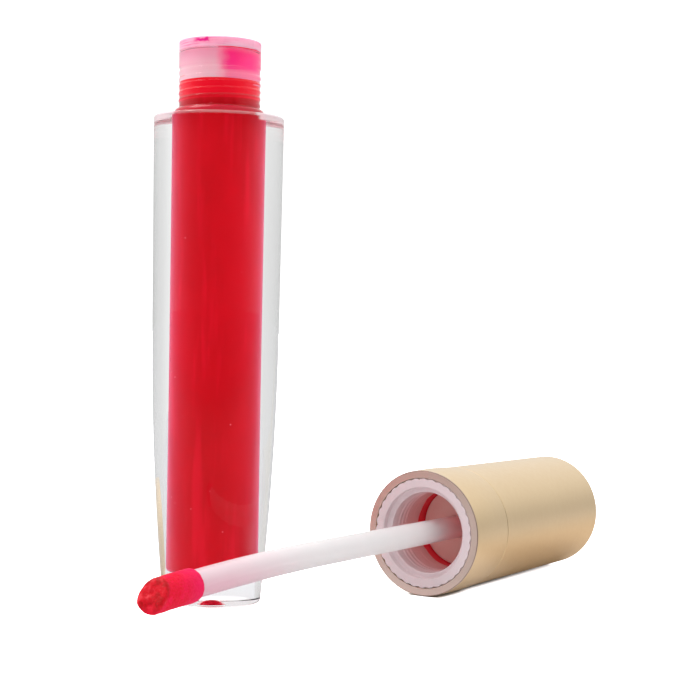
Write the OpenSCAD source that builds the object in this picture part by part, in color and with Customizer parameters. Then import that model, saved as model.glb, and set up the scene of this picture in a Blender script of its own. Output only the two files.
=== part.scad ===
// Lip gloss tube, standing open, with its cap and wand lying beside it.
// Origin: centre of the bottle's base. +Z runs up the bottle's axis.
// The cap and wand lie along Y, with the wand's tip towards -Y.

/* [Bottle] */
// Largest diameter of the bottle, at its shoulder
body_d = 20; // [19:0.1:21]
// Height of the thick-walled body, from the base to the shoulder
body_h = 74.3; // [72:0.1:78]
// Diameter of the base
base_d = 15; // [14:0.1:16]
// Diameter where the straight upper wall meets the curved lower wall
waist_d = 19.4; // [19.2:0.1:19.6]
// Height of that meeting line
waist_z = 40; // [36:1:44]
// Diameter of the neck's plain upper band, and of its thread's crests
neck_d = 12.6; // [12.4:0.1:12.8]
// Height of the neck above the shoulder, up to the wiper's flange
neck_h = 10; // [9:0.1:10.4]
// Diameter of the rounded collar at the neck's foot
collar_d = 14.2; // [13.6:0.1:14.6]
// Thickness of the clear base under the chamber
base_wall = 4.6; // [4:0.1:6]
// Diameter of the chamber at its floor
chamber_floor_d = 8.8; // [8:0.1:8.9]
// Diameter of the bore through the neck
neck_bore_d = 9; // [8.8:0.1:9.2]

/* [Thread] */
// Rise of the neck's fine screw thread in one turn
pitch = 1.05; // [0.95:0.05:1.2]
// Number of turns on the neck
neck_turns = 5; // [3:1:5]
// Number of turns inside the cap
cap_turns = 3; // [2:1:4]
// Depth of the thread
thread_depth = 0.18; // [0.1:0.01:0.2]

/* [Wiper] */
// Thickness of the flange that seats on the neck
flange_h = 1.5; // [1.2:0.1:1.8]
// Length of the sleeve that plugs the neck
sleeve_len = 4.5; // [4:0.1:5]
// Length of the tapered lips below the sleeve
lip_len = 3.4; // [3:0.1:4]
// Diameter of the hole that wipes the stem
orifice_d = 3.6; // [3.4:0.1:3.7]

/* [Cap] */
// Largest diameter of the gold shell
cap_d = 20; // [19.6:0.1:20.4]
// Length of the gold shell
cap_len = 45.5; // [44:0.1:48]
// Diameter of the shell at its closed end
cap_end_d = 19.1; // [18.8:0.1:19.4]
// Distance from the open rim to the fine line around the shell
seam_depth = 10.4; // [9.5:0.1:11.5]
// Diameter of the shell at that line
seam_d = 19.6; // [19.4:0.1:19.7]
// Diameter of the pocket that holds the inner cap
pocket_d = 17.5; // [17.4:0.1:17.6]
// Number of gripping ribs around the inner cap
rib_count = 36; // [24:1:40]

/* [Wand] */
// Diameter of the stem
stem_d = 3.7; // [3.6:0.05:3.7]
// Distance from the cap's rim to the end of the stem's straight stretch
straight_reach = 28.4; // [26:0.1:30]
// Radius of the gentle bow over the rest of the stem
bow_r = 485; // [400:5:900]
// Angle of that bow
bow_angle = 3.5; // [1:0.1:3.6]
// Diameter over the flocked tip
flock_d = 4.55; // [4.4:0.05:4.7]
// Length of the flocked tip, from its shoulder to the far edge of its cut face
flock_len = 9.7; // [9:0.1:10.2]
// Thickness of the flock on the tip's core
flock_t = 0.45; // [0.3:0.05:0.6]
// Slope of the cut face, from square across
cut_angle = 33; // [25:1:40]

/* [Layout] */
// Distance from the bottle's axis to the cap's axis, along X
cap_x = 23.8; // [22:0.1:28]
// Place of the cap's open rim, along Y
rim_y = 23.4; // [20:0.1:26]

/* [Hidden] */
$fn = 96;

// Small gap between pieces that are pushed together
seat_gap = 0.02;
// A cut goes this far past the solid that it opens
past = 1;

// Bottle
wall_steps = 10;
shoulder_round = 0.5;
collar_step = 0.1;
neck_top = body_h + neck_h;
floor_round = 0.7;
// The chamber starts to taper this far below the shoulder
taper_drop = 1.3;
bore_foot = body_h - taper_drop;

// Thread, with thread_steps points in one turn
thread_steps = 36;
// Height of the thread's first turn above the shoulder
thread_rise = 1.8;
// Width of a screw ridge at its foot and at its crest, and how far its foot is sunk in the wall
ridge_foot = 0.75;
ridge_crest = 0.35;
ridge_sink = 0.1;
// The neck is a little slimmer between the crests, and plain again above the last of them
root_r = neck_d / 2 - thread_depth;
fillet_r = collar_d / 2 - root_r;
land_foot = body_h + thread_rise + pitch * neck_turns + ridge_foot / 2;

// Wiper
gloss_top = neck_top - sleeve_len;
lip_foot = gloss_top - lip_len;
lip_wall = 0.5;
flange_bore_d = 7.2;
sleeve_d = neck_bore_d - 2 * seat_gap;

// Inner cap and its gasket
// Radial room between the cap's bore and the neck: less than the thread's depth, so that the
// cap's ridges reach in between the neck's
bore_room = 0.12;
cap_bore_d = neck_d + 2 * bore_room;
cap_mouth_d = 14.5;
mouth_depth = 1.2;
// The gasket meets the wiper's flange when the cap is closed, and lies loose in its place
gasket_depth = neck_h + flange_h;
gasket_h = 0.8;
gasket_room = 0.1;
gasket_d = cap_bore_d - 2 * gasket_room;
gasket_inner_room = 0.25;
gasket_inner_d = stem_d + 2 * gasket_inner_room;
plate_depth = gasket_depth + gasket_h;
inner_cap_len = 14.5;
// Room between the inner cap and its pocket, which the ribs fill but for a sliver
rib_room = 0.3;
inner_cap_d = pocket_d - 2 * rib_room;
rib_r = 0.3;
rib_sink = 0.08;
rib_ring_r = inner_cap_d / 2 - rib_sink;
// Points round each rib
rib_steps = 16;
socket_d = 6.6;
socket_depth = 22;
root_depth = 21;
root_hole_d = stem_d + 2 * seat_gap;

// Gold shell
front_steps = 8;
side_wall = 1.5;
rear_bore_d = cap_end_d - 2 * side_wall;
end_wall = 1.6;
end_round = 0.9;
rim_inset = 0.07;
swell = 0.125;

// Points round the bowed rod, and round the whole circle that its bow is a part of
rod_steps = 48;
bow_steps = 360;

// Tip
spigot_d = 2.4;
spigot_len = 4;
core_d = flock_d - 2 * flock_t;
core_len = flock_len - flock_t / cos(cut_angle);
heel_round = 0.5;
point_round = 0.9;

// Lower wall of the bottle: one arc from the base, tangent to the straight wall above the waist
wall_slope = (body_d - waist_d) / 2 / (body_h - waist_z);
base_inset = waist_d / 2 - wall_slope * waist_z - base_d / 2;
wall_arc_r = waist_z * waist_z / 2 / base_inset;
wall_points = [for (z = [0 : waist_z / wall_steps : waist_z])
    [waist_d / 2 + wall_slope * (z - waist_z) - pow(waist_z - z, 2) / 2 / wall_arc_r, z]];

// Points on an arc about (x, y), from angle a to angle b
function arc(x, y, r, a, b, steps = 8) =
    [for (i = [0 : steps]) let (t = a + (b - a) * i / steps) [x + r * cos(t), y + r * sin(t)]];

// The chamber's outline, from the middle of its floor to the foot of the neck's bore
function chamber_points(gap) = concat(
    [[0, base_wall + gap]],
    arc(chamber_floor_d / 2 - floor_round, base_wall + floor_round, floor_round - gap, 270, 360),
    [[neck_bore_d / 2 - gap, bore_foot]]
);

function reversed(points) = [for (i = [len(points) - 1 : -1 : 0]) points[i]];

// Radius of the shell's front section, which swells a little where it grips the inner cap
function front_r(d) = cap_d / 2 - rim_inset
    - (cap_d / 2 - rim_inset - seam_d / 2) * d / seam_depth
    + swell * sin(180 * d / seam_depth);

// A screw ridge: a trapezium carried up a helix, wide at radius r_foot and narrow at r_crest
module screw_ridge(r_foot, r_crest, turns) {
    n = turns * thread_steps;
    section = [[r_foot, -ridge_foot / 2], [r_crest, -ridge_crest / 2],
               [r_crest, ridge_crest / 2], [r_foot, ridge_foot / 2]];
    helix = [for (i = [0 : n], p = section) let (a = 360 * i / thread_steps)
        [p[0] * cos(a), p[0] * sin(a), p[1] + pitch * i / thread_steps]];
    sides = [for (i = [0 : n - 1], k = [0 : 3]) let (j = (k + 1) % 4)
        [4 * i + k, 4 * i + 4 + k, 4 * i + 4 + j, 4 * i + j]];
    ends = [[0, 1, 2, 3], [4 * n + 3, 4 * n + 2, 4 * n + 1, 4 * n]];
    polyhedron(points = helix, faces = concat(sides, ends));
}

// Puts a piece that is drawn along +Z, from the cap's rim inwards, into its place beside the bottle
module cap_place() {
    translate([cap_x, rim_y, cap_d / 2]) rotate([-90, 0, 0]) children();
}

// Puts a piece that is drawn along +Z, from the stem's end outwards, onto the end of the bow
module tip_place() {
    cap_place() translate([0, bow_r, -straight_reach]) rotate([bow_angle, 0, 0])
        translate([0, -bow_r, 0]) rotate([180, 0, 0]) children();
}

module bottle_body() {
    color([0.93, 0.94, 0.95, 0.35]) {
        rotate_extrude() polygon(concat(
            [[0, 0]],
            wall_points,
            arc(body_d / 2 - shoulder_round, body_h - shoulder_round, shoulder_round, 0, 90),
            arc(collar_d / 2, body_h + collar_step + fillet_r, fillet_r, 270, 180),
            [[root_r, land_foot], [neck_d / 2, land_foot + thread_depth],
             [neck_d / 2, neck_top], [neck_bore_d / 2, neck_top]],
            reversed(chamber_points(0))
        ));
        translate([0, 0, body_h + thread_rise])
            screw_ridge(root_r - ridge_sink, neck_d / 2, neck_turns);
    }
}

module wiper() {
    color([0.95, 0.92, 0.93, 0.6]) rotate_extrude() polygon([
        [flange_bore_d / 2, neck_top + flange_h], [neck_d / 2, neck_top + flange_h],
        [neck_d / 2, neck_top], [sleeve_d / 2, neck_top],
        [sleeve_d / 2, gloss_top], [orifice_d / 2 + lip_wall, lip_foot],
        [orifice_d / 2, lip_foot], [flange_bore_d / 2, gloss_top + lip_wall]
    ]);
}

module gloss() {
    color("crimson") rotate_extrude() polygon(concat(
        chamber_points(seat_gap),
        [[sleeve_d / 2, gloss_top - seat_gap],
         [orifice_d / 2 + lip_wall, lip_foot - 2 * seat_gap], [0, lip_foot - 2 * seat_gap]]
    ));
}

module cap_gasket() {
    color([0.85, 0.7, 0.68]) cap_place() translate([0, 0, gasket_depth]) difference() {
        cylinder(d = gasket_d, h = gasket_h - seat_gap);
        translate([0, 0, -past]) cylinder(d = gasket_inner_d, h = gasket_h + 2 * past);
    }
}

module cap_shell() {
    color([0.86, 0.76, 0.55]) cap_place() rotate_extrude() polygon(concat(
        [[pocket_d / 2, 0], [pocket_d / 2, inner_cap_len], [rear_bore_d / 2, inner_cap_len],
         [rear_bore_d / 2, cap_len - end_wall], [0, cap_len - end_wall], [0, cap_len]],
        arc(cap_end_d / 2 - end_round, cap_len - end_round, end_round, 90, 0),
        [for (i = [front_steps : -1 : 0]) let (d = seam_depth * i / front_steps) [front_r(d), d]]
    ));
}

module inner_cap() {
    color([0.94, 0.91, 0.93]) cap_place() {
        difference() {
            union() {
                cylinder(d = inner_cap_d, h = inner_cap_len);
                linear_extrude(inner_cap_len) for (i = [0 : rib_count - 1])
                    rotate(360 * i / rib_count) translate([rib_ring_r, 0]) circle(rib_r, $fn = rib_steps);
                cylinder(d = socket_d, h = socket_depth);
            }
            translate([0, 0, -past]) cylinder(d = cap_bore_d, h = plate_depth + past);
            translate([0, 0, -past]) cylinder(d = cap_mouth_d, h = mouth_depth + past);
            cylinder(d = root_hole_d, h = root_depth + seat_gap);
        }
        translate([0, 0, thread_rise + pitch])
            screw_ridge(cap_bore_d / 2 + ridge_sink, cap_bore_d / 2 - thread_depth, cap_turns);
    }
}

module applicator_stem() {
    color([0.95, 0.94, 0.94]) difference() {
        union() {
            cap_place() translate([0, 0, -straight_reach])
                cylinder(d = stem_d, h = straight_reach + root_depth);
            cap_place() translate([0, bow_r, -straight_reach])
                rotate([0, 90, 0]) rotate([0, 0, -90])
                rotate_extrude(angle = bow_angle, $fn = bow_steps)
                translate([bow_r, 0]) circle(d = stem_d, $fn = rod_steps);
        }
        tip_place() translate([0, 0, -spigot_len])
            cylinder(d = spigot_d + 2 * seat_gap, h = spigot_len + past);
    }
}

// A round bar with a sloping, doe's-foot end, whose long side is underneath
module doe_foot(d, len) {
    difference() {
        rotate_extrude() polygon(concat(
            [[0, 0]],
            arc(d / 2 - heel_round, heel_round, heel_round, -90, 0),
            arc(d / 2 - point_round, len - point_round, point_round, 0, 90),
            [[0, len]]
        ));
        translate([0, -d / 2, len]) rotate([cut_angle, 0, 0])
            translate([-d, -d, 0]) cube([2 * d, 4 * d, len]);
    }
}

module tip_core() {
    color([0.9, 0.5, 0.55]) tip_place() union() {
        translate([0, 0, seat_gap]) doe_foot(core_d, core_len - seat_gap);
        translate([0, 0, seat_gap - spigot_len]) cylinder(d = spigot_d, h = spigot_len + core_len / 2);
    }
}

module flocked_tip() {
    color([0.86, 0.08, 0.22]) tip_place() difference() {
        translate([0, 0, seat_gap]) doe_foot(flock_d, flock_len - seat_gap);
        doe_foot(core_d + 2 * seat_gap, core_len + seat_gap);
        translate([0, 0, -past]) cylinder(d = core_d + 2 * seat_gap, h = past + heel_round);
    }
}

bottle_body();
wiper();
gloss();
cap_gasket();
cap_shell();
inner_cap();
applicator_stem();
tip_core();
flocked_tip();
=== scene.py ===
"""The looks of the lip gloss tube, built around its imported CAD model.

The bottle stands at the origin, and the cap lies beside it along Y, with its wand towards -Y.
Outlines are in millimetres, and mesh_piece() turns them into metres.
"""

import math

import bmesh
import bpy
import numpy as np
from mathutils import Matrix, Vector, noise


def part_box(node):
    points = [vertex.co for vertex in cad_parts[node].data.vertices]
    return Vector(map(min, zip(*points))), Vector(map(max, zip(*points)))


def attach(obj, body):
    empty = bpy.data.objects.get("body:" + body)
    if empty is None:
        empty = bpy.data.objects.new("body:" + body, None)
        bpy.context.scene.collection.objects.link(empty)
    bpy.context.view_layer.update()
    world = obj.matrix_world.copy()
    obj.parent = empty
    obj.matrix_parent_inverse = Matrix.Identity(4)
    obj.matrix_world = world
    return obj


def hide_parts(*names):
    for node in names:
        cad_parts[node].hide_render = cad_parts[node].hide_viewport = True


MM = 0.001

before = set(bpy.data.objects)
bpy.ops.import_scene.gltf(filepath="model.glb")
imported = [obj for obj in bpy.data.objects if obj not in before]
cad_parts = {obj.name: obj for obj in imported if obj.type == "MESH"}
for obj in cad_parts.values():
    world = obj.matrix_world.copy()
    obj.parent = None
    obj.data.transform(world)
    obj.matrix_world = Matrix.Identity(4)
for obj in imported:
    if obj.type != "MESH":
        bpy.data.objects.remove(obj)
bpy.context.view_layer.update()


# ---------------------------------------------------------------- camera

CAMERA_PLACE = Vector((0.1519, -0.1952, 0.0426))
CAMERA_TURN = math.radians(33.48)
CAMERA_TILT = math.radians(-0.47)
CAMERA_ROLL = math.radians(0.975)
FIELD_OF_VIEW = math.radians(23.93)

# The level direction from the object back to the camera, and the one to the camera's right
TO_CAMERA = Vector((math.sin(CAMERA_TURN), -math.cos(CAMERA_TURN), 0))
TO_RIGHT = Vector((math.cos(CAMERA_TURN), math.sin(CAMERA_TURN), 0))


def make_camera():
    data = bpy.data.cameras.new("camera")
    data.sensor_fit = "HORIZONTAL"
    data.angle = FIELD_OF_VIEW
    data.clip_start = 0.01
    camera = bpy.data.objects.new("camera", data)
    bpy.context.scene.collection.objects.link(camera)
    forward = -TO_CAMERA * math.cos(CAMERA_TILT) + Vector((0, 0, math.sin(CAMERA_TILT)))
    level = forward.cross(Vector((0, 0, 1))).normalized()
    upright = level.cross(forward)
    right = level * math.cos(CAMERA_ROLL) + upright * math.sin(CAMERA_ROLL)
    up = upright * math.cos(CAMERA_ROLL) - level * math.sin(CAMERA_ROLL)
    turn = Matrix((right, up, -forward)).transposed().to_4x4()
    camera.matrix_world = Matrix.Translation(CAMERA_PLACE) @ turn
    bpy.context.scene.camera = camera


make_camera()


# ---------------------------------------------------------------- sizes, in millimetres

def node_box(node):
    """A CAD node's lowest and highest corners, in millimetres."""
    low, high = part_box(node)
    return low / MM, high / MM


BODY_HIGH = node_box("bottle_body")[1]
WIPER_LOW, WIPER_HIGH = node_box("wiper")
SHELL_LOW, SHELL_HIGH = node_box("cap_shell")
GASKET_LOW, GASKET_HIGH = node_box("cap_gasket")
STEM_LOW, STEM_HIGH = node_box("applicator_stem")

# Bottle
BODY_R = BODY_HIGH.x
BODY_H = 74.3
NECK_TOP = BODY_HIGH.z
BASE_R = 7.5
WAIST_R = 9.7
WAIST_Z = 40
NECK_R = 6.3
COLLAR_R = 7.1
COLLAR_H = 1.25
SHOULDER_ROUND = 0.3
BASE_ROUND = 0.3
GATE_R = 1.4
GATE_H = 0.8
BASE_WALL = 4.6
FLOOR_R = 4.4
FLOOR_ROUND = 0.7
BORE_R = 4.5
BORE_FOOT = 73
PITCH = 1.05
NECK_TURNS = 5
THREAD_RISE = 1.8
THREAD_DEPTH = 0.11
RIDGE_FOOT = 0.75
RIDGE_CREST = 0.2
ROOT_R = NECK_R - THREAD_DEPTH
LAND_FOOT = BODY_H + THREAD_RISE + PITCH * NECK_TURNS + RIDGE_FOOT / 2

# Wiper
FLANGE_TOP = WIPER_HIGH.z
LIP_FOOT = WIPER_LOW.z
GLOSS_TOP = 79.8
FLANGE_BORE_R = 3.6
ORIFICE_R = 1.8
LIP_WALL = 0.5
# The gloss and the wiper press this far into the bottle's wall, so that no air shows between them
CONTACT = 0.01

# Cap, with depths from its open rim
CAP_X = (SHELL_LOW.x + SHELL_HIGH.x) / 2
CAP_Z = (SHELL_LOW.z + SHELL_HIGH.z) / 2
RIM_Y = SHELL_LOW.y
CAP_LEN = SHELL_HIGH.y - SHELL_LOW.y
CAP_R = 10
CAP_END_R = 9.55
RIM_INSET = 0.07
SWELL = 0.125
SEAM_DEPTH = 10.4
SEAM_R = 9.8
POCKET_R = 8.75
REAR_BORE_R = 8.05
END_WALL = 1.6
END_ROUND = 0.9
INNER_CAP_LEN = 14.5
INNER_CAP_R = 8.45
RIB_COUNT = 36
RIB_HEIGHT = 0.24
NOTCH_DEPTH = 0.36
CAP_BORE_R = 6.42
CAP_MOUTH_R = 7.25
MOUTH_DEPTH = 1.2
CAP_THREAD_START = THREAD_RISE + PITCH
CAP_TURNS = 3
GASKET_DEPTH = GASKET_LOW.y - RIM_Y
GASKET_H = GASKET_HIGH.y - GASKET_LOW.y
GASKET_R = (GASKET_HIGH.x - GASKET_LOW.x) / 2
PLATE_DEPTH = 12.3
SOCKET_R = 3.3
SOCKET_DEPTH = 22

# Wand
STEM_R = (STEM_HIGH.x - STEM_LOW.x) / 2
ROOT_DEPTH = STEM_HIGH.y - RIM_Y
STRAIGHT_REACH = 28.4
BOW_R = 485
BOW_ANGLE = math.radians(3.5)
FLOCK_R = 2.275
FLOCK_LEN = 9.7
CUT_ANGLE = math.radians(33)
CORE_INSET = 0.5
CORE_SHORTER = 0.9
TOE_CUT = 0.9
# Two matted pits in the tip's wet slope, as places across and up from the middle of the tip
TIP_PITS = ((-0.2, 0.5), (0.15, -0.9))


# ---------------------------------------------------------------- mesh helpers

def mesh_piece(name, points, faces, sharp=35):
    """A smooth-shaded mesh object from points in millimetres, with edges of more than sharp degrees
    kept crisp."""
    mesh = bpy.data.meshes.new(name)
    mesh.from_pydata((np.asarray(points, float) * MM).tolist(), [], faces)
    solid = bmesh.new()
    solid.from_mesh(mesh)
    bmesh.ops.recalc_face_normals(solid, faces=solid.faces)
    solid.to_mesh(mesh)
    solid.free()
    mesh.polygons.foreach_set("use_smooth", [True] * len(mesh.polygons))
    mesh.set_sharp_from_angle(angle=math.radians(sharp))
    mesh.update()
    piece = bpy.data.objects.new(name, mesh)
    bpy.context.scene.collection.objects.link(piece)
    return piece


def upright(points):
    """Keeps points as they are, for a piece that is turned about the bottle's own axis."""
    return points


def in_cap(points):
    """Takes points drawn along +Z from the cap's rim inwards to the cap's place."""
    x, y, z = np.moveaxis(points, -1, 0)
    return np.stack([CAP_X + x, RIM_Y + z, CAP_Z - y], -1)


def arc(r, z, radius, start, end, steps=8):
    """Points on an arc about (r, z), between two angles in degrees from the outward direction."""
    turns = [math.radians(start + (end - start) * i / steps) for i in range(steps + 1)]
    return [(r + radius * math.cos(t), z + radius * math.sin(t)) for t in turns]


def rounded(corners, closed=False, steps=6):
    """An outline through corners of (r, z) or (r, z, radius), with each radius rounded off."""
    points = []
    count = len(corners)
    for i, corner in enumerate(corners):
        here = Vector(corner[:2])
        at_end = not closed and i in (0, count - 1)
        if len(corner) < 3 or at_end:
            points.append(tuple(here))
            continue
        back = (Vector(corners[i - 1][:2]) - here).normalized()
        ahead = (Vector(corners[(i + 1) % count][:2]) - here).normalized()
        half = back.angle(ahead) / 2
        centre = here + (back + ahead).normalized() * corner[2] / math.sin(half)
        reach = corner[2] / math.tan(half)
        start = here + back * reach - centre
        end = here + ahead * reach - centre
        sweep = math.pi - 2 * half
        for k in range(steps + 1):
            t = k / steps
            spoke = start * math.sin((1 - t) * sweep) + end * math.sin(t * sweep)
            points.append(tuple(centre + spoke / math.sin(sweep)))
    return points


def spaced(start, end, step):
    """Values from start to end, evenly spaced by about step, with both ends."""
    return np.linspace(start, end, max(2, round(abs(end - start) / step) + 1)).tolist()


def bends(one, other):
    """Whether two steps of an outline differ in direction by more than 2 degrees."""
    return abs(one.angle(other)) > math.radians(2)


def braced(outline, closed):
    """Adds a point close to each end of every long straight stretch that ends in a bend, so that the
    smooth shading of the bend stays out of the flat."""
    long_run = 0.3
    inset = 0.03
    count = len(outline)
    points = []
    for i, here in enumerate(outline):
        points.append(here)
        if not closed and i == count - 1:
            break
        start = Vector(here)
        end = Vector(outline[(i + 1) % count])
        run = end - start
        if run.length < long_run:
            continue
        if (closed or i > 0) and bends(start - Vector(outline[i - 1]), run):
            points.append(tuple(start + run * inset / run.length))
        if (closed or i < count - 2) and bends(run, Vector(outline[(i + 2) % count]) - end):
            points.append(tuple(end - run * inset / run.length))
    return points


def turned(name, outline, place, steps=192, ring=False, shape=None, sharp=35):
    """A piece turned about an axis from an outline of (r, z) points, which runs round the section
    so that its outside is on the right. A ring's outline closes on itself, and any other outline
    starts and ends on the axis. shape(r, angle, z) can change the radius around the piece."""
    outline = braced(outline, ring)
    rows = np.array(outline if ring else outline[1:-1], float)
    angle = np.linspace(0, 2 * math.pi, steps, endpoint=False)[None, :]
    r, z = rows[:, :1] + 0 * angle, rows[:, 1:] + 0 * angle
    if shape is not None:
        r = shape(r, angle, z)
    points = np.stack([r * np.cos(angle), r * np.sin(angle), z], -1).reshape(-1, 3)
    count = len(rows)
    bands = count if ring else count - 1
    faces = []
    for i in range(bands):
        here = i * steps
        above = (i + 1) % count * steps
        for j in range(steps):
            k = (j + 1) % steps
            faces.append((here + j, here + k, above + k, above + j))
    if not ring:
        first = len(points)
        last = first + 1
        points = np.vstack([points, [(0, 0, outline[0][1]), (0, 0, outline[-1][1])]])
        foot = (count - 1) * steps
        faces += [(first, (j + 1) % steps, j) for j in range(steps)]
        faces += [(last, foot + j, foot + (j + 1) % steps) for j in range(steps)]
    return mesh_piece(name, place(points), faces, sharp)


def smooth_step(value, low, high):
    """Goes smoothly from 0 to 1 as value goes from low to high."""
    t = np.clip((value - low) / (high - low), 0, 1)
    return t * t * (3 - 2 * t)


def thread(angle, z, start, turns):
    """How fully a screw thread stands at a point, from 0 to 1, with its ends faded out."""
    turn = angle / (2 * math.pi)
    along = (z - start) / PITCH - turn
    nearest = np.clip(np.round(along), 0, turns - 1)
    offset = (along - nearest) * PITCH
    travelled = nearest + turn
    ends = smooth_step(travelled, 0, 0.15) * (1 - smooth_step(travelled, turns - 0.15, turns))
    return (1 - smooth_step(np.abs(offset), RIDGE_CREST / 2, RIDGE_FOOT / 2)) * ends


def wand_point(reach, across=0.0, height=0.0):
    """The point reach millimetres out from the cap's rim along the wand, moved sideways and up from
    the wand's middle line."""
    bowed = min(max(0, reach - STRAIGHT_REACH), BOW_R * BOW_ANGLE)
    angle = bowed / BOW_R
    beyond = reach - bowed - min(reach, STRAIGHT_REACH)
    out = Vector((0, -math.cos(angle), -math.sin(angle)))
    up = Vector((0, -math.sin(angle), math.cos(angle)))
    y = RIM_Y - min(reach, STRAIGHT_REACH) - BOW_R * math.sin(angle)
    z = CAP_Z - BOW_R * (1 - math.cos(angle))
    return Vector((CAP_X + across, y, z)) + out * beyond + up * height


STEM_REACH = STRAIGHT_REACH + BOW_R * BOW_ANGLE


def wand_direction(across, out, up):
    """A direction at the wand's end, from its parts sideways, outwards and upwards."""
    turn = Matrix.Rotation(BOW_ANGLE, 3, "X")
    return turn @ Vector((across, -out, up))


# ---------------------------------------------------------------- node helpers

class Shader:
    """A material with one Principled shader. Plain values go straight onto its sockets."""

    def __init__(self, name, **values):
        self.material = bpy.data.materials.new(name)
        self.material.use_nodes = True
        self.nodes = self.material.node_tree.nodes
        self.links = self.material.node_tree.links
        self.surface = self.nodes["Principled BSDF"]
        for key, value in values.items():
            socket = key.replace("_", " ").title().replace("Ior", "IOR")
            self.surface.inputs[socket].default_value = value
        place = self.nodes.new("ShaderNodeTexCoord")
        self.place = place.outputs["Object"]
        split = self.nodes.new("ShaderNodeSeparateXYZ")
        self.links.new(self.place, split.inputs[0])
        self.x, self.y, self.z = split.outputs

    def node(self, kind, inputs, **settings):
        """A new node, with its inputs given as values or as other nodes' outputs."""
        node = self.nodes.new(kind)
        for name, value in settings.items():
            setattr(node, name, value)
        for key, value in inputs.items():
            if isinstance(value, bpy.types.NodeSocket):
                self.links.new(value, node.inputs[key])
            else:
                node.inputs[key].default_value = value
        return node

    def math(self, operation, a, b=0.0):
        return self.node("ShaderNodeMath", {0: a, 1: b}, operation=operation).outputs[0]

    def along(self, direction):
        """Distance from the origin along a direction, in metres."""
        inputs = {0: self.place, 1: tuple(direction)}
        return self.node("ShaderNodeVectorMath", inputs, operation="DOT_PRODUCT").outputs["Value"]

    def distance(self, *sides):
        """The length of the diagonal over two sides at right angles."""
        squares = [self.math("POWER", side, 2.0) for side in sides]
        return self.math("SQRT", self.math("ADD", *squares))

    def from_axis(self, x, y):
        """Distance from an upright axis through (x, y), in metres."""
        return self.distance(self.math("SUBTRACT", self.x, x), self.math("SUBTRACT", self.y, y))

    def from_cap_axis(self):
        """Distance from the cap's axis, in metres."""
        across = self.math("SUBTRACT", self.x, CAP_X * MM)
        up = self.math("SUBTRACT", self.z, CAP_Z * MM)
        return self.distance(across, up)

    def step(self, value, low, high, to_low=0.0, to_high=1.0):
        """Goes smoothly from to_low to to_high as value goes from low to high."""
        inputs = {0: value, 1: low, 2: high, 3: to_low, 4: to_high}
        return self.node("ShaderNodeMapRange", inputs, interpolation_type="SMOOTHSTEP").outputs[0]

    def band(self, value, low, high, soft):
        """1 between low and high, and 0 outside them, with soft edges."""
        rise = self.step(value, low - soft, low + soft)
        fall = self.step(value, high - soft, high + soft, 1.0, 0.0)
        return self.math("MULTIPLY", rise, fall)

    def noise(self, size, stretch=(1, 1, 1), detail=3.0, rough=0.5):
        """Noise whose features are about size metres across, longer where stretch is above 1."""
        scale = tuple(1 / (size * s) for s in stretch)
        place = self.node("ShaderNodeVectorMath", {0: self.place, 1: scale}, operation="MULTIPLY")
        inputs = {"Vector": place.outputs[0], "Scale": 1.0, "Detail": detail, "Roughness": rough}
        return self.node("ShaderNodeTexNoise", inputs).outputs["Fac"]

    def spots(self, size, reach):
        """1 in small round spots, scattered about size metres apart, and 0 between them."""
        inputs = {"Vector": self.place, "Scale": 1 / size}
        distance = self.node("ShaderNodeTexVoronoi", inputs).outputs["Distance"]
        return self.step(distance, reach * 0.5, reach, 1.0, 0.0)

    def mix(self, factor, a, b):
        """Goes from colour a to colour b as factor goes from 0 to 1."""
        a, b = [(*colour, 1) if isinstance(colour, tuple) else colour for colour in (a, b)]
        return self.node("ShaderNodeMix", {0: factor, 6: a, 7: b}, data_type="RGBA").outputs[2]

    def bump(self, height, depth, strength=1.0):
        """A bump whose height of 1 stands depth metres proud."""
        inputs = {"Height": height, "Distance": depth, "Strength": strength}
        normal = self.node("ShaderNodeBump", inputs).outputs[0]
        self.links.new(normal, self.surface.inputs["Normal"])

    def set(self, socket, value):
        self.links.new(value, self.surface.inputs[socket])


# ---------------------------------------------------------------- materials

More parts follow.
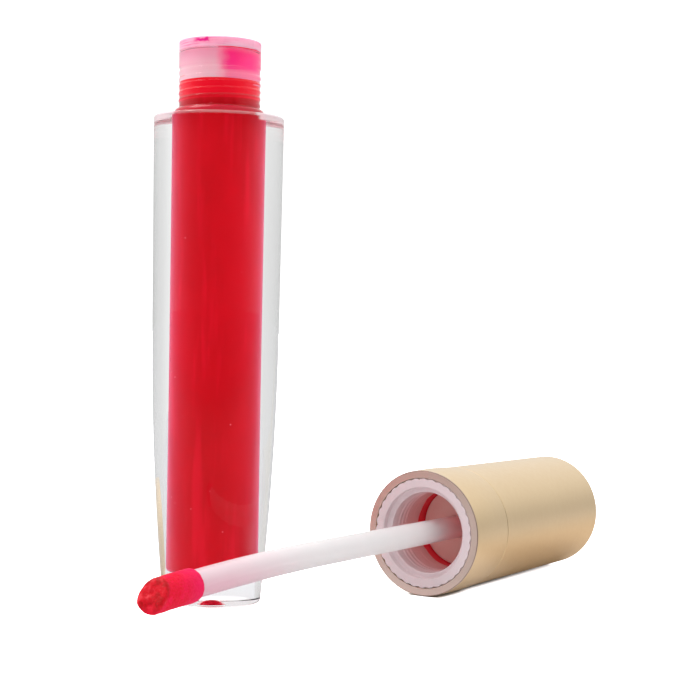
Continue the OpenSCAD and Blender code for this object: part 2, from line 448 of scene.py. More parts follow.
def clear_plastic():
    """Clear plastic with a milky pink smear of gloss over the edge of its shoulder, thinner in front.
    The red in its collar is partly gloss caught there and partly a painted refraction of the gloss,
    and the red in its gate is a painted reflection of the gloss above it."""
    red = (0.62, 0.004, 0.03)
    shader = Shader("clear_plastic", ior=1.59, specular_tint=(0.3, 0.3, 0.3, 1))
    haze = shader.noise(0.004, stretch=(1, 1, 4))
    shader.set("Roughness", shader.step(haze, 0.3, 0.8, 0.0, 0.03))
    radius = shader.from_axis(0, 0)
    sideways = shader.math("ABSOLUTE", shader.along(TO_RIGHT))

    shoulder = shader.band(shader.z, (BODY_H - 0.5) * MM, (BODY_H + 0.15) * MM, 0.00015)
    outside = shader.step(radius, (COLLAR_R + 0.1) * MM, (COLLAR_R + 0.4) * MM)
    near_camera = shader.step(shader.along(TO_CAMERA), 0.0045, 0.0060)
    in_front = shader.math("MULTIPLY", near_camera, shader.step(sideways, 0.0055, 0.0070, 1.0, 0.0))
    thick = shader.step(in_front, 0.0, 1.0, 1.0, 0.3)
    on_top = shader.math("MULTIPLY", shader.math("MULTIPLY", shoulder, outside), thick)
    side = shader.step(sideways, 0.0061, 0.0070, 0.0, 0.8)
    under_edge = shader.band(shader.z, (BODY_H - 1.1) * MM, (BODY_H + 0.15) * MM, 0.0002)
    smeared = shader.math("MAXIMUM", on_top, shader.math("MULTIPLY", side, under_edge))
    clear = shader.mix(smeared, (0.985, 0.99, 0.988), (0.90, 0.76, 0.80))

    # The gate's red is a painted reflection of the red gloss above it, seen in the gate's dome
    painted_gate_reflection = shader.step(radius, GATE_R * MM, (GATE_R + 0.05) * MM, 1.0, 0.0)
    low_down = shader.step(shader.z, (GATE_H + 0.2) * MM, (GATE_H + 0.4) * MM, 1.0, 0.0)
    painted_gate_reflection = shader.math("MULTIPLY", painted_gate_reflection, low_down)
    # The collar's red is partly gloss caught there and partly a painted refraction of the gloss
    collar = shader.band(shader.z, (BODY_H + 0.08) * MM, (BODY_H + COLLAR_H) * MM, 0.00008)
    ring = shader.band(radius, (NECK_R - 0.1) * MM, (COLLAR_R + 0.1) * MM, 0.0001)
    # stained holds the collar's red, partly gloss and partly painted refraction, and the gate's painted
    # reflection
    stained = shader.math("MAXIMUM", painted_gate_reflection, shader.math("MULTIPLY", collar, ring))
    shader.set("Base Color", shader.mix(stained, clear, red))
    cloudy = shader.math("MAXIMUM", smeared, shader.math("MULTIPLY", stained, 0.85))
    shader.set("Transmission Weight", shader.step(cloudy, 0.0, 1.0, 1.0, 0.25))
    shader.bump(shader.noise(0.006, stretch=(1, 1, 8), detail=1.0), 0.00001)
    return shader.material


def gloss_liquid():
    """Thick red gloss with upright streaks and a few small bubbles. It has painted shade at the foot of the
    neck and painted light in the neck above that."""
    shader = Shader(
        "gloss_liquid", specular_ior_level=0.03, roughness=0.25, sheen_weight=1.0, sheen_roughness=0.46,
        sheen_tint=(1.0, 0.30, 0.55, 1)
    )
    streak = shader.noise(0.0016, stretch=(1, 1, 14), detail=4.0)
    cloud = shader.noise(0.007, stretch=(1, 1, 3), detail=2.0)
    red = shader.mix(shader.step(cloud, 0.35, 0.65), (0.52, 0.0003, 0.003), (0.60, 0.0006, 0.006))
    red = shader.mix(shader.step(streak, 0.50, 0.70, 0.0, 0.42), red, (0.80, 0.005, 0.024))
    # Painted shade: the gloss is darkened in a band at the foot of the neck
    painted_shade_at_neck_foot = shader.band(shader.z, (BODY_H + 0.5) * MM, (BODY_H + 2.0) * MM, 0.0011)
    red = shader.mix(shader.math("MULTIPLY", painted_shade_at_neck_foot, 0.6), red, (0.36, 0.0, 0.002))
    # Painted light: the gloss is brightened in the neck above that band
    high = shader.step(shader.z, (BODY_H + 2.4) * MM, (BODY_H + 3.4) * MM)
    red = shader.mix(shader.math("MULTIPLY", high, 0.8), red, (0.95, 0.001, 0.018))
    bubbles = shader.spots(0.0028, 0.045)
    red = shader.mix(shader.math("MULTIPLY", bubbles, 0.6), red, (0.95, 0.25, 0.30))
    shader.set("Base Color", red)
    return shader.material


def wiper_plastic():
    """Milky plastic with gloss smeared over its right half and caught in blots on its flange."""
    shader = Shader(
        "wiper_plastic", specular_ior_level=0.3, subsurface_weight=0.7, subsurface_scale=0.001,
        subsurface_radius=(1.0, 0.7, 0.8)
    )
    flange = shader.step(shader.z, (NECK_TOP - 0.05) * MM, (NECK_TOP + 0.05) * MM)
    side = shader.along(TO_RIGHT)
    wobble = shader.math("MULTIPLY", shader.noise(0.0015), 0.0012)
    smear = shader.step(shader.math("ADD", side, wobble), 0.0001, 0.0024)
    depth = shader.band(shader.z, (NECK_TOP - 3.1) * MM, (NECK_TOP - 0.3) * MM, 0.0008)
    smear = shader.math("MULTIPLY", smear, shader.step(depth, 0.0, 1.0, 0.6, 1.0))
    smear = shader.math("MULTIPLY", smear, shader.step(side, 0.0040, 0.0060, 1.0, 0.6))
    milk = shader.mix(shader.noise(0.003, stretch=(2, 2, 0.5)), (0.86, 0.50, 0.60), (0.86, 0.64, 0.70))
    upper = shader.step(shader.z, (NECK_TOP - 2.8) * MM, (NECK_TOP - 0.8) * MM)
    milk = shader.mix(upper, milk, (0.85, 0.45, 0.59))
    sleeve = shader.mix(smear, milk, (0.96, 0.032, 0.29))
    swirl = shader.noise(0.0016, stretch=(2, 2, 0.4), detail=4.0)
    film = shader.mix(swirl, (0.93, 0.28, 0.46), (0.93, 0.58, 0.70))
    lines = shader.step(shader.noise(0.0009, stretch=(5, 5, 0.25), detail=2.0), 0.55, 0.66, 0.0, 0.6)
    film = shader.mix(lines, film, (0.80, 0.06, 0.28))
    ragged = shader.math("MULTIPLY", shader.noise(0.0006, detail=2.0), 0.0016)
    left = shader.band(shader.math("ADD", side, ragged), -0.0026, -0.0004, 0.0005)
    ragged_height = shader.math("ADD", shader.z, shader.math("MULTIPLY", ragged, 0.6))
    high = shader.band(ragged_height, (NECK_TOP + 1.2) * MM, (NECK_TOP + 1.8) * MM, 0.00015)
    film = shader.mix(shader.math("MULTIPLY", left, high), film, (0.80, 0.01, 0.26))
    shader.set("Base Color", shader.mix(flange, sleeve, film))
    shader.set("Roughness", shader.step(smear, 0.0, 1.0, 0.35, 0.15))
    return shader.material


def gold_shell():
    """Satin champagne coating, pinker on the end face around the mouth and darker on its outer edge."""
    shader = Shader("gold_shell", coat_weight=1.0, coat_ior=2.2, coat_roughness=0.4)
    cloud = shader.noise(0.012, detail=2.0)
    gold = shader.mix(cloud, (0.71, 0.50, 0.225), (0.67, 0.46, 0.195))
    face = shader.step(shader.y, (RIM_Y + 0.02) * MM, (RIM_Y + 0.12) * MM, 1.0, 0.0)
    gold = shader.mix(face, gold, (0.66, 0.50, 0.42))
    shader.set("Metallic", shader.step(face, 0.0, 1.0, 1.0, 0.4))
    outer = shader.math("GREATER_THAN", shader.from_cap_axis(), (CAP_R - 0.2) * MM)
    front = shader.step(shader.y, (RIM_Y + 0.10) * MM, (RIM_Y + 0.20) * MM, 1.0, 0.0)
    edge = shader.math("MULTIPLY", outer, front)
    shader.set("Base Color", shader.mix(edge, gold, (0.30, 0.17, 0.11)))
    shader.set("Roughness", shader.step(shader.noise(0.0008), 0.3, 0.7, 0.36, 0.44))
    shader.bump(shader.noise(0.00018, detail=4.0), 0.0000015)
    return shader.material


def white_plastic():
    """Moulded white plastic, stained with gloss towards the bottom of its bore."""
    shader = Shader("white_plastic", specular_ior_level=0.4, roughness=0.4)
    depth = shader.math("SUBTRACT", shader.y, RIM_Y * MM)
    patchy = shader.math("MULTIPLY", shader.noise(0.003), 0.0012)
    depth = shader.math("ADD", depth, patchy)
    plain = shader.mix(shader.noise(0.004), (0.72, 0.60, 0.63), (0.78, 0.67, 0.69))
    pink = shader.mix(shader.step(depth, 0.0010, 0.0085), plain, (0.97, 0.54, 0.54))
    shader.set("Base Color", shader.mix(shader.step(depth, 0.0100, 0.0104), pink, (0.98, 0.01, 0.04)))
    shader.bump(shader.noise(0.0003), 0.000002)
    return shader.material


def gasket_foam():
    shader = Shader("gasket_foam", roughness=0.6)
    tint = shader.mix(shader.noise(0.003), (1.0, 0.60, 0.54), (1.0, 0.68, 0.62))
    shader.set("Base Color", tint)
    shader.bump(shader.noise(0.0003), 0.00001)
    return shader.material


def stem_plastic():
    """Milky plastic that turns pink towards the tip and, inside the cap, towards its root."""
    shader = Shader(
        "stem_plastic", roughness=0.28, specular_ior_level=0.35, subsurface_weight=0.9,
        subsurface_scale=0.002, subsurface_radius=(1.0, 0.9, 0.9)
    )
    along = shader.math("ADD", shader.y, shader.math("MULTIPLY", shader.noise(0.003), 0.004))
    low = shader.step(shader.z, 0.0085, 0.0110, 1.0, 0.55)
    near_tip = shader.math("MULTIPLY", shader.step(along, -0.030, -0.006, 1.0, 0.0), low)
    near_root = shader.step(along, (RIM_Y + 2) * MM, (RIM_Y + 12) * MM)
    milk = shader.mix(shader.noise(0.004), (0.70, 0.675, 0.68), (0.75, 0.725, 0.73))
    stained = shader.mix(near_tip, milk, (0.72, 0.46, 0.53))
    shader.set("Base Color", shader.mix(near_root, stained, (0.96, 0.66, 0.67)))
    shader.bump(shader.noise(0.0012, stretch=(1, 6, 1)), 0.000008)
    return shader.material


def core_plastic():
    shader = Shader("core_plastic", roughness=0.4)
    shader.set("Base Color", shader.mix(shader.noise(0.002), (0.62, 0.16, 0.22), (0.72, 0.25, 0.30)))
    return shader.material


def flock():
    """Velvet flock, pinker at its heel, with a darker and wetter, matted slope. Its darkest patches are
    painted shade in creases, and its pale salmon patches are painted highlights.
    """
    shader = Shader(
        "flock", specular_ior_level=0.15, sheen_weight=0.2, sheen_roughness=0.3,
        sheen_tint=(1.0, 0.08, 0.3, 1)
    )
    tuft = shader.noise(0.0003, detail=3.0)
    clump = shader.noise(0.0012, detail=2.0)
    red = shader.mix(shader.step(tuft, 0.35, 0.65), (0.72, 0.002, 0.022), (0.80, 0.003, 0.040))
    red = shader.mix(shader.step(clump, 0.4, 0.7, 0.0, 0.4), red, (0.88, 0.004, 0.08))
    heel = shader.step(shader.y, wand_point(STEM_REACH + 5).y * MM, wand_point(STEM_REACH).y * MM)
    red = shader.mix(shader.math("MULTIPLY", heel, 0.6), red, (0.86, 0.012, 0.13))
    normal = wand_direction(0.0, math.cos(CUT_ANGLE), math.sin(CUT_ANGLE))
    middle = wand_point(STEM_REACH + FLOCK_LEN - FLOCK_R * math.tan(CUT_ANGLE)) * MM
    wet = shader.step(shader.along(normal), middle.dot(normal) - 0.0009, middle.dot(normal) - 0.0002)
    # On the wet slope, the darkest patches are painted shade in creases and the pale salmon patches are
    # painted highlights
    matted = shader.noise(0.0014, detail=3.0)
    wet_tone_with_painted_light = shader.mix(shader.step(matted, 0.40, 0.52), (0.44, 0.0, 0.004), (0.62, 0.001, 0.012))
    wet_tone_with_painted_light = shader.mix(shader.step(matted, 0.54, 0.68, 0.0, 0.55), wet_tone_with_painted_light, (0.88, 0.06, 0.085))
    shader.set("Base Color", shader.mix(wet, red, wet_tone_with_painted_light))
    shader.set("Roughness", shader.step(wet, 0.0, 1.0, 0.65, 0.42))
    shader.bump(tuft, 0.000015)
    return shader.material


def white_floor():
    """A white sheet that is overexposed where it is seen directly, but for a thin contact shadow.
    In mirror-like surfaces it shows greyer and darkest towards the camera. By the cap it shows brightest,
    in a painted pool of light that is white nearer the bottle and warm further along, as painted bounce
    from the gold cap.
    Through the clear wall it shows dark grey, but for a glow around the bottle's foot."""
    shader = Shader("white_floor", roughness=0.6, specular_ior_level=0.0)
    path = shader.node("ShaderNodeLightPath", {}).outputs
    seen = path["Is Camera Ray"]
    lighting = shader.math("GREATER_THAN", path["Diffuse Depth"], 0.5)
    through = shader.math("GREATER_THAN", path["Transmission Depth"], 0.5)

    toward = shader.along(TO_CAMERA)
    front = shader.step(toward, -0.005, 0.020)
    mirrored = shader.mix(front, (0.62, 0.62, 0.64), (0.22, 0.22, 0.22))
    mirrored = shader.mix(shader.step(toward, 0.12, 0.35), mirrored, (0.02, 0.02, 0.02))
    # Painted light: a pool of light by the cap, warm further along with painted bounce light from the gold
    # cap
    painted_cap_pool = shader.band(shader.x, 0.005, 0.055, 0.020)
    painted_cap_pool = shader.math("MULTIPLY", painted_cap_pool, shader.step(shader.y, 0.005, 0.020))
    painted_cap_bounce_tone = shader.mix(shader.step(shader.y, 0.030, 0.050), (1.0, 0.98, 1.0), (0.70, 0.60, 0.50))
    mirrored = shader.mix(painted_cap_pool, mirrored, painted_cap_bounce_tone)
    mirrored = shader.mix(through, mirrored, (0.36, 0.36, 0.37))
    thrown = shader.mix(lighting, mirrored, (0.85, 0.85, 0.85))
    shader.set("Base Color", shader.mix(seen, thrown, (0.93, 0.93, 0.93)))

    open_sky = shader.node("ShaderNodeAmbientOcclusion", {"Distance": 0.0009}).outputs["AO"]
    lift = shader.math("MULTIPLY", seen, shader.step(open_sky, 0.15, 0.45))
    seen_through = shader.math("SUBTRACT", shader.math("MAXIMUM", through, lighting), lighting)
    foot = shader.step(shader.from_axis(0, 0), 0.010, 0.030, 0.55, 0.0)
    glow = shader.math("MULTIPLY", seen_through, foot)
    shader.surface.inputs["Emission Color"].default_value = (1, 0.97, 0.98, 1)
    shader.set("Emission Strength", shader.math("ADD", lift, glow))
    return shader.material


MATERIALS = {
    make.__name__: make()
    for make in (
        clear_plastic, gloss_liquid, wiper_plastic, gold_shell, white_plastic,
        gasket_foam, stem_plastic, core_plastic, flock, white_floor,
    )
}


def finish_piece(piece, body, slot, *nodes):
    """Gives a piece its material and its body, and hides the CAD nodes that it stands for."""
    piece.data.materials.append(MATERIALS[slot])
    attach(piece, body)
    if nodes:
        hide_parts(*nodes)
    return piece


# ---------------------------------------------------------------- bottle

def wall_r(z):
    """Radius of the bottle's wall: a long arc up to the waist, then straight."""
    slope = (BODY_R - WAIST_R) / (BODY_H - WAIST_Z)
    inset = WAIST_R - slope * WAIST_Z - BASE_R
    return WAIST_R + slope * (z - WAIST_Z) - inset * (max(0, WAIST_Z - z) / WAIST_Z) ** 2


def chamber_r(z):
    """Radius of the chamber's straight, slightly tapered wall."""
    foot = BASE_WALL + FLOOR_ROUND
    return FLOOR_R + (BORE_R - FLOOR_R) * (z - foot) / (BORE_FOOT - foot)


def make_bottle():
    gate_arc = (GATE_R ** 2 + GATE_H ** 2) / (2 * GATE_H)
    gate_edge = 90 - math.degrees(math.asin(GATE_R / gate_arc))
    gate = arc(0, GATE_H - gate_arc, gate_arc, 90, gate_edge, steps=24)
    base = rounded([(GATE_R, 0), (BASE_R, 0, BASE_ROUND), (wall_r(1), 1)])[1:]
    wall = [(wall_r(z), z) for z in spaced(2, BODY_H - 1, 1)]
    shoulder = arc(BODY_R - SHOULDER_ROUND, BODY_H - SHOULDER_ROUND, SHOULDER_ROUND, 0, 90)
    fillet = 0.1
    reach = COLLAR_R - ROOT_R - fillet
    collar = [
        (ROOT_R + fillet + reach * math.cos(t), BODY_H + COLLAR_H * math.sin(t))
        for t in spaced(0, math.pi / 2, 0.17)
    ]
    collar += arc(ROOT_R + fillet, BODY_H + COLLAR_H + fillet, fillet, 270, 180, steps=4)[1:]
    neck = [(ROOT_R, z) for z in spaced(BODY_H + COLLAR_H + 0.15, LAND_FOOT - 0.1, 0.06)]
    mouth = rounded(
        [
            (ROOT_R, LAND_FOOT - 0.1),
            (ROOT_R, LAND_FOOT, 0.1),
            (NECK_R, LAND_FOOT + THREAD_DEPTH, 0.1),
            (NECK_R, NECK_TOP, 0.1),
            (BORE_R, NECK_TOP, 0.1),
            (BORE_R, NECK_TOP - 0.3),
        ]
    )[1:]
    bore = [(BORE_R, z) for z in spaced(NECK_TOP - 1, BORE_FOOT, 1)]
    chamber = [(chamber_r(z), z) for z in spaced(BORE_FOOT - 1, BASE_WALL + FLOOR_ROUND + 1, 2)]
    floor = arc(FLOOR_R - FLOOR_ROUND, BASE_WALL + FLOOR_ROUND, FLOOR_ROUND, 0, -90)
    outside = gate + base + wall + shoulder + collar + neck + mouth
    outline = outside + bore + chamber + floor + [(0, BASE_WALL)]

    def shape(r, angle, z):
        ridge = THREAD_DEPTH * thread(angle, z, BODY_H + THREAD_RISE, NECK_TURNS)
        return np.where(np.abs(r - ROOT_R) < 0.01, r + ridge, r)

    piece = turned("bottle", outline, upright, steps=256, shape=shape)
    return finish_piece(piece, "bottle", "clear_plastic", "bottle_body")


def make_gloss():
    wall = [(chamber_r(z) + CONTACT, z) for z in spaced(BASE_WALL + FLOOR_ROUND, BORE_FOOT, 2)]
    floor = arc(FLOOR_R - FLOOR_ROUND, BASE_WALL + FLOOR_ROUND, FLOOR_ROUND + CONTACT, -90, 0)
    top = [
        (BORE_R + CONTACT, GLOSS_TOP),
        (BORE_R - 0.1, GLOSS_TOP - 0.02),
        (ORIFICE_R + LIP_WALL + 0.02, LIP_FOOT + 0.1),
        (ORIFICE_R + 0.1, LIP_FOOT + 0.05),
        (ORIFICE_R, LIP_FOOT + 0.3),
        (0, LIP_FOOT - 0.1),
    ]
    piece = turned("gloss_fill", [(0, BASE_WALL - CONTACT)] + floor + wall[1:] + top, upright)
    return finish_piece(piece, "bottle", "gloss_liquid", "gloss")


def make_wiper():
    outline = rounded(
        [
            (FLANGE_BORE_R, FLANGE_TOP, 0.15),
            (FLANGE_BORE_R, GLOSS_TOP + LIP_WALL, 0.6),
            (ORIFICE_R, LIP_FOOT, 0.1),
            (ORIFICE_R + LIP_WALL, LIP_FOOT, 0.1),
            (BORE_R + CONTACT, GLOSS_TOP, 0.1),
            (BORE_R + CONTACT, NECK_TOP - CONTACT, 0.02),
            (NECK_R, NECK_TOP - CONTACT, 0.1),
            (NECK_R, FLANGE_TOP, 0.15),
        ],
        closed=True,
    )
    piece = turned("wiper_plug", outline, upright, ring=True)
    return finish_piece(piece, "bottle", "wiper_plastic", "wiper")


def make_trapped_gloss():
    """A thin film of gloss squeezed out between the flange and the neck, over part of the way round."""
    steps = 64
    film = 0.07
    spread = math.radians(42)
    middle = math.atan2(TO_CAMERA.y, TO_CAMERA.x) + spread
    inner = BORE_R + 0.1
    shy = NECK_R - 0.02
    proud = NECK_R + 0.03
    points, faces = [], []
    for i in range(steps + 1):
        t = 2 * i / steps - 1
        angle = middle + t * spread
        half = film * (1 - t ** 4) + 0.005
        section = [(inner, -half), (shy, -half), (proud, 0), (shy, half), (inner, half)]
        points += [(r * math.cos(angle), r * math.sin(angle), NECK_TOP + h) for r, h in section]
    count = len(section)
    for i in range(steps):
        for k in range(count):
            m = (k + 1) % count
            faces.append((i * count + k, i * count + m, (i + 1) * count + m, (i + 1) * count + k))
    faces.append(tuple(reversed(range(count))))
    faces.append(tuple(range(steps * count, steps * count + count)))
    piece = mesh_piece("trapped_gloss", points, faces)
    return finish_piece(piece, "bottle", "gloss_liquid")


# ---------------------------------------------------------------- cap

def front_r(depth):
    """Radius of the shell in front of the seam, which swells a little over the inner cap."""
    share = depth / SEAM_DEPTH
    rim_r = CAP_R - RIM_INSET
    return rim_r - (rim_r - SEAM_R) * share + SWELL * math.sin(math.pi * share)


def make_shell():
    """The gold shell, with a fine groove at its seam and softened edges."""
    rim = rounded(
        [(POCKET_R, 1), (POCKET_R, 0, 0.08), (front_r(0), 0, 0.12), (front_r(0.5), 0.5)]
    )
    front = [(front_r(d), d) for d in spaced(1, SEAM_DEPTH - 0.1, 0.4)]
    seam = [
        (SEAM_R, SEAM_DEPTH - 0.09),
        (SEAM_R - 0.1, SEAM_DEPTH - 0.03),
        (SEAM_R - 0.1, SEAM_DEPTH + 0.03),
        (SEAM_R - 0.01, SEAM_DEPTH + 0.09),
    ]
    round_start = CAP_LEN - END_ROUND
    slope = (SEAM_R - CAP_END_R) / (round_start - SEAM_DEPTH)
    depths = spaced(SEAM_DEPTH + 0.5, round_start - 0.5, 1)
    rear = [(SEAM_R - slope * (d - SEAM_DEPTH), d) for d in depths]
    end = arc(CAP_END_R - END_ROUND, round_start, END_ROUND, 0, 90)
    inside = [
        (0, CAP_LEN - END_WALL),
        (REAR_BORE_R, CAP_LEN - END_WALL),
        (REAR_BORE_R, INNER_CAP_LEN),
        (POCKET_R, INNER_CAP_LEN),
    ]
    outline = inside + rim + front + seam + rear + end + [(0, CAP_LEN)]
    piece = turned("gold_shell", outline, in_cap, steps=256)
    return finish_piece(piece, "cap", "gold_shell", "cap_shell")


def make_inner_cap():
    """The white threaded liner, with scallops around its front edge and a socket for the stem."""
    outline = [(STEM_R + 0.02, PLATE_DEPTH), (CAP_BORE_R, PLATE_DEPTH)]
    outline += [(CAP_BORE_R, d) for d in spaced(PLATE_DEPTH - 0.3, 9.1, 0.3)]
    land_r = CAP_BORE_R - 0.06
    outline += [(land_r, 8.9), (land_r, 7.8), (CAP_BORE_R, 7.6)]
    outline += [(CAP_BORE_R, d) for d in spaced(7.4, MOUTH_DEPTH + 0.6, 0.07)]
    outline += rounded(
        [
            (CAP_BORE_R, MOUTH_DEPTH + 0.5),
            (CAP_BORE_R, MOUTH_DEPTH + 0.1, 0.15),
            (CAP_MOUTH_R, MOUTH_DEPTH, 0.2),
            (CAP_MOUTH_R, 0, 0.15),
            (INNER_CAP_R, 0, 0.05),
            (INNER_CAP_R, NOTCH_DEPTH / 2),
        ]
    )
    outline += [
        (INNER_CAP_R, NOTCH_DEPTH),
        (INNER_CAP_R, INNER_CAP_LEN - 0.5),
        (INNER_CAP_R, INNER_CAP_LEN),
        (SOCKET_R, INNER_CAP_LEN),
        (SOCKET_R, SOCKET_DEPTH),
        (STEM_R + 0.02, SOCKET_DEPTH),
    ]

    def shape(r, angle, z):
        wave = np.sqrt(np.clip(0.5 + 0.5 * np.cos(RIB_COUNT * angle), 0, 1))
        behind = smooth_step(z, NOTCH_DEPTH / 2, NOTCH_DEPTH)
        ribs = RIB_HEIGHT * np.maximum(wave, behind)
        edge = smooth_step(r, INNER_CAP_R - 0.1, INNER_CAP_R)
        ridge = THREAD_DEPTH * thread(angle, z, CAP_THREAD_START, CAP_TURNS)
        in_bore = np.abs(r - CAP_BORE_R) < 0.01
        return np.where(in_bore, r - ridge, r + ribs * edge)

    piece = turned("inner_cap_liner", outline, in_cap, steps=RIB_COUNT * 12, ring=True, shape=shape)
    return finish_piece(piece, "cap", "white_plastic", "inner_cap")


def make_gasket():
    outline = rounded(
        [
            (STEM_R + 0.03, GASKET_DEPTH, 0.02),
            (STEM_R + 0.03, GASKET_DEPTH + GASKET_H),
            (GASKET_R, GASKET_DEPTH + GASKET_H),
            (GASKET_R, GASKET_DEPTH, 0.15),
        ],
        closed=True,
    )
    piece = turned("sealing_gasket", outline, in_cap, ring=True)
    return finish_piece(piece, "gasket", "gasket_foam", "cap_gasket")


# ---------------------------------------------------------------- wand

def make_stem():
    """The milky rod from its root in the socket to the foot of the flocked tip, with faint mould lines."""
    steps = 72
    ends = 0.25
    reaches = [-ROOT_DEPTH, -ROOT_DEPTH + ends]
    reaches += spaced(1 - ROOT_DEPTH, STEM_REACH - 1, 1)
    reaches += [STEM_REACH - ends, STEM_REACH]
    points, faces = [], []
    for reach in reaches:
        radius = STEM_R - (ends if reach in (reaches[0], reaches[-1]) else 0)
        for j in range(steps):
            a = 2 * math.pi * j / steps
            r = radius + 0.02 * max(0, math.cos(2 * a)) ** 40
            points.append(wand_point(reach, r * math.cos(a), r * math.sin(a)))
    for i in range(len(reaches) - 1):
        for j in range(steps):
            k = (j + 1) % steps
            faces.append((i * steps + j, (i + 1) * steps + j, (i + 1) * steps + k, i * steps + k))
    faces.append(tuple(range(steps)))
    faces.append(tuple(reversed(range((len(reaches) - 1) * steps, len(reaches) * steps))))
    piece = mesh_piece("wand_stem", points, faces)
    return finish_piece(piece, "cap", "stem_plastic", "applicator_stem")


def doe_foot(radius, length, spacing, rounding):
    """A grid of (across, reach, height) points on a round bar with a sloping end, from the centre of its
    rear face to the centre of the slope, with its corners rounded by smoothing."""
    steps = round(2 * math.pi * radius / spacing)
    a = np.linspace(0, 2 * math.pi, steps, endpoint=False)
    across, height = radius * np.cos(a), radius * np.sin(a)
    reach = np.minimum(length - (height + radius) * math.tan(CUT_ANGLE), length - TOE_CUT)
    edge = np.stack([across, reach, height], -1)
    heel = np.stack([across, 0 * a, height], -1)
    middle = np.array([0, length - radius * math.tan(CUT_ANGLE), 0])
    rear = [heel * (t, 1, t) for t in spaced(spacing / radius, 1, spacing / radius)]
    side = [heel + (edge - heel) * t for t in spaced(0, 1, spacing / length)[1:]]
    slope = [edge + (middle - edge) * t for t in spaced(0, 1 - spacing / radius, spacing / radius)[1:]]
    grid = np.array(rear + side + slope)
    for _ in range(rounding):
        grid[1:-1] = (grid[:-2] + 2 * grid[1:-1] + grid[2:]) / 4
    return grid


def grid_piece(name, grid):
    """A closed piece over a doe-foot grid at the wand's end."""
    rows, steps = grid.shape[:2]
    points = [wand_point(STEM_REACH + p[1], p[0], p[2]) for p in grid.reshape(-1, 3)]
    faces = [
        (i * steps + j, (i + 1) * steps + j, (i + 1) * steps + (j + 1) % steps, i * steps + (j + 1) % steps)
        for i in range(rows - 1)
        for j in range(steps)
    ]
    faces.append(tuple(range(steps)))
    faces.append(tuple(reversed(range((rows - 1) * steps, rows * steps))))
    return mesh_piece(name, points, faces, sharp=80)


def make_core():
    grid = doe_foot(FLOCK_R - CORE_INSET, FLOCK_LEN - CORE_SHORTER, 0.2, 4)
    piece = grid_piece("tip_core_foot", grid)
    return finish_piece(piece, "cap", "core_plastic", "tip_core")


def make_flock():
    """The velvet tip: matted tufts all over, and a wetter slope with two pits in it."""
    grid = doe_foot(FLOCK_R - 0.06, FLOCK_LEN, 0.06, 80)
    normal = np.cross(np.roll(grid, -1, 1) - np.roll(grid, 1, 1), np.gradient(grid, axis=0))
    normal = normal / np.maximum(1e-9, np.linalg.norm(normal, axis=-1, keepdims=True))
    centre = grid * (0, 1, 0)
    outward = np.sign(np.sum(normal * (grid - centre), -1, keepdims=True).mean())
    normal = normal * outward
    tufts = [
        0.03 * noise.noise(p / 0.10) + 0.03 * noise.noise(p / 0.28) + 0.05 * noise.noise(p / 0.8)
        for p in map(Vector, grid.reshape(-1, 3))
    ]
    height = np.array(tufts).reshape(grid.shape[:2] + (1,))
    for across, up in TIP_PITS:
        pit = np.array([across, FLOCK_LEN - (up + FLOCK_R) * math.tan(CUT_ANGLE), up])
        gap = np.linalg.norm(grid - pit, axis=-1, keepdims=True)
        height -= 0.28 * np.exp(-((gap / 0.42) ** 2))
    piece = grid_piece("velvet_tip", grid + normal * height)
    return finish_piece(piece, "cap", "flock", "flocked_tip")


# ---------------------------------------------------------------- stage

def make_floor():
    size = 6.0
    mesh = bpy.data.meshes.new("floor")
    corners = [(-size, -size, 0), (size, -size, 0), (size, size, 0), (-size, size, 0)]
    mesh.from_pydata(corners, [], [(0, 1, 2, 3)])
    mesh.materials.append(MATERIALS["white_floor"])
    floor = bpy.data.objects.new("floor", mesh)
    bpy.context.scene.collection.objects.link(floor)


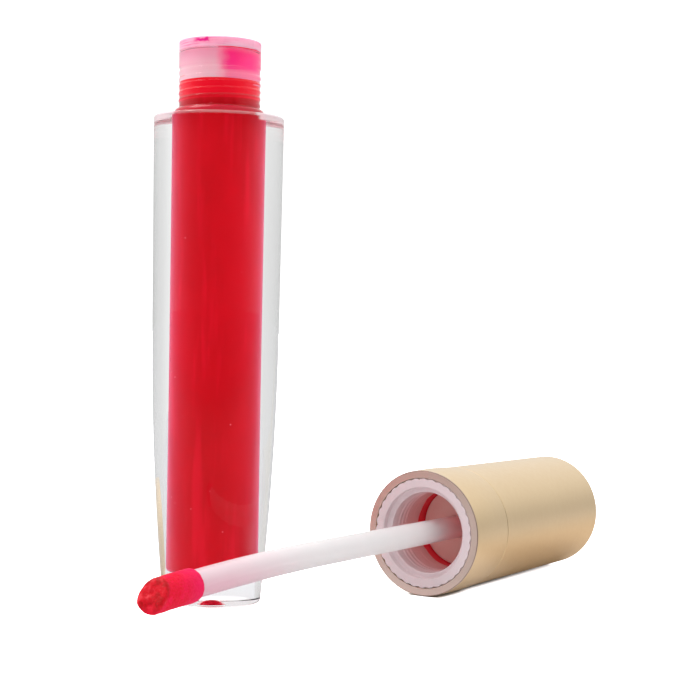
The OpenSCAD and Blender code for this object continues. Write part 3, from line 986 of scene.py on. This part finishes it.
def make_world():
    """A white studio that is bright overhead and behind the object, and dark around the camera.
    Through the clear wall it lights the gloss more strongly from the sides and from behind."""
    scene = bpy.context.scene
    scene.world = bpy.data.worlds.new("studio")
    scene.world.use_nodes = True
    nodes, links = scene.world.node_tree.nodes, scene.world.node_tree.links

    def node(kind, inputs, output=0, **settings):
        made = nodes.new(kind)
        for name, value in settings.items():
            setattr(made, name, value)
        for key, value in inputs.items():
            if isinstance(value, bpy.types.NodeSocket):
                links.new(value, made.inputs[key])
            else:
                made.inputs[key].default_value = value
        return made.outputs[output]

    def step(value, low, high, to_low, to_high):
        inputs = {0: value, 1: low, 2: high, 3: to_low, 4: to_high}
        return node("ShaderNodeMapRange", inputs, interpolation_type="SMOOTHSTEP")

    def multiply(a, b):
        return node("ShaderNodeMath", {0: a, 1: b}, operation="MULTIPLY")

    direction = node("ShaderNodeTexCoord", {}, "Generated")
    height = node("ShaderNodeSeparateXYZ", {0: direction}, 2)
    inputs = {0: direction, 1: tuple(TO_CAMERA)}
    toward = node("ShaderNodeVectorMath", inputs, "Value", operation="DOT_PRODUCT")
    level = step(height, 0.05, 0.6, 0.75, 1.2)
    bright = multiply(level, step(toward, -0.95, -0.65, 1.2, 1.0))
    camera_side = step(toward, 0.0, 0.85, 0.0, 1.0)
    low_down = step(height, 0.20, 0.45, 1.0, 0.0)
    near_camera = multiply(camera_side, low_down)
    dark = step(near_camera, 0.0, 1.0, 1.0, 0.08)
    path = nodes.new("ShaderNodeLightPath").outputs
    through = node("ShaderNodeMath", {0: path["Transmission Depth"], 1: 0.5}, operation="GREATER_THAN")
    shaded = step(near_camera, 0.0, 1.0, 1.0, 0.5)
    in_wall = multiply(step(camera_side, 0.0, 1.0, 2.8, 0.55), step(toward, -0.9, -0.1, 0.5, 1.0))
    lit = multiply(level, node("ShaderNodeMix", {0: through, 2: shaded, 3: in_wall}))
    backdrop = multiply(step(toward, -0.8, -0.2, 0.9, 1.0), step(height, 0.0, 0.3, 0.82, 1.0))
    backdrop = node("ShaderNodeMix", {0: through, 2: backdrop, 3: 1.05})
    mirrored = multiply(multiply(bright, dark), backdrop)
    strength = node("ShaderNodeMix", {0: path["Diffuse Depth"], 2: mirrored, 3: lit})
    strength = node("ShaderNodeMix", {0: path["Is Camera Ray"], 2: strength, 3: 1.2})
    links.new(strength, nodes["Background"].inputs["Strength"])
    nodes["Background"].inputs["Color"].default_value = (1, 1, 1, 1)


def make_key_light():
    """One soft box, high on the left."""
    data = bpy.data.lights.new("soft_box", "AREA")
    data.shape = "SQUARE"
    data.size = 0.25
    data.energy = 1.1
    light = bpy.data.objects.new("soft_box", data)
    bpy.context.scene.collection.objects.link(light)
    place = Vector((-0.20, -0.10, 0.50))
    aim = Vector((0.01, 0.01, 0.04)) - place
    light.matrix_world = Matrix.Translation(place) @ aim.to_track_quat("-Z", "Y").to_matrix().to_4x4()


for make in (
    make_bottle, make_gloss, make_wiper, make_trapped_gloss, make_shell, make_inner_cap, make_gasket,
    make_stem, make_core, make_flock, make_floor, make_world, make_key_light,
):
    make()

# The photograph's pure reds and whites need the plain display curve
bpy.context.scene.view_settings.view_transform = "Standard"
